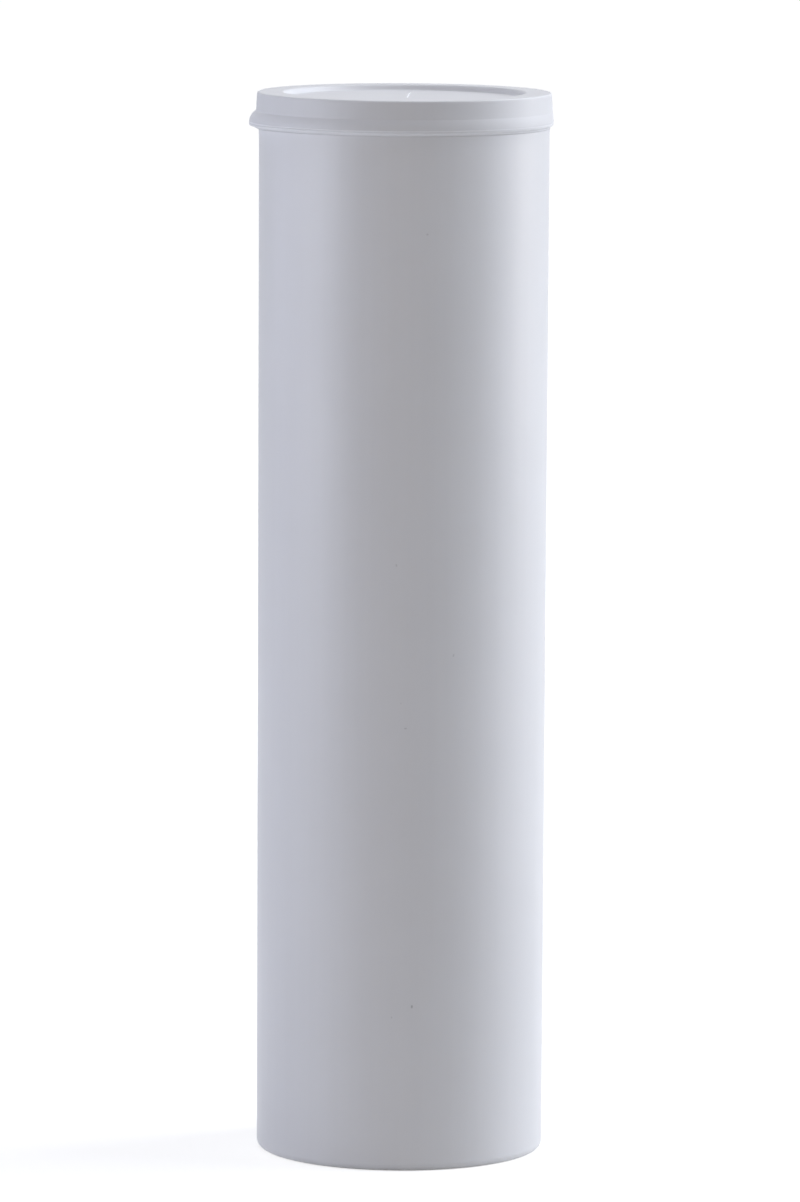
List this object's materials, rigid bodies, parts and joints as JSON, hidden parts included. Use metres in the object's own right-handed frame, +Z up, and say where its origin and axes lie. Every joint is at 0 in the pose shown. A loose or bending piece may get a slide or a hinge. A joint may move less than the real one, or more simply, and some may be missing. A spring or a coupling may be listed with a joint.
{
  "type": "tablet tube",
  "caption": "Upright round moulded-plastic tube for tablets, with a push-fit lid whose recessed top and thumb lip sit almost flush with the wall; the lid lifts straight off the neck.",
  "frame": {"origin": "on the tube's axis, at the standing plane under the base", "axes": "+Z up the axis to the lid; the thumb lip points to -X; the picture looks along +Y"},
  "size_m": [0.0315, 0.0314, 0.11],
  "materials": {
    "tube_plastic": "satin, white moulded polypropylene",
    "lid_plastic": "satin, slightly translucent white moulded polyethylene"
  },
  "bodies": {
    "tube": {"tube": "tube_plastic"},
    "lid": {"lid": "lid_plastic"}
  },
  "joints": [
    {"name": "lid_lift", "type": "slide", "parent": "tube", "child": "lid", "axis": [0, 0, 1], "range_m": [0, 0.04]}
  ]
}
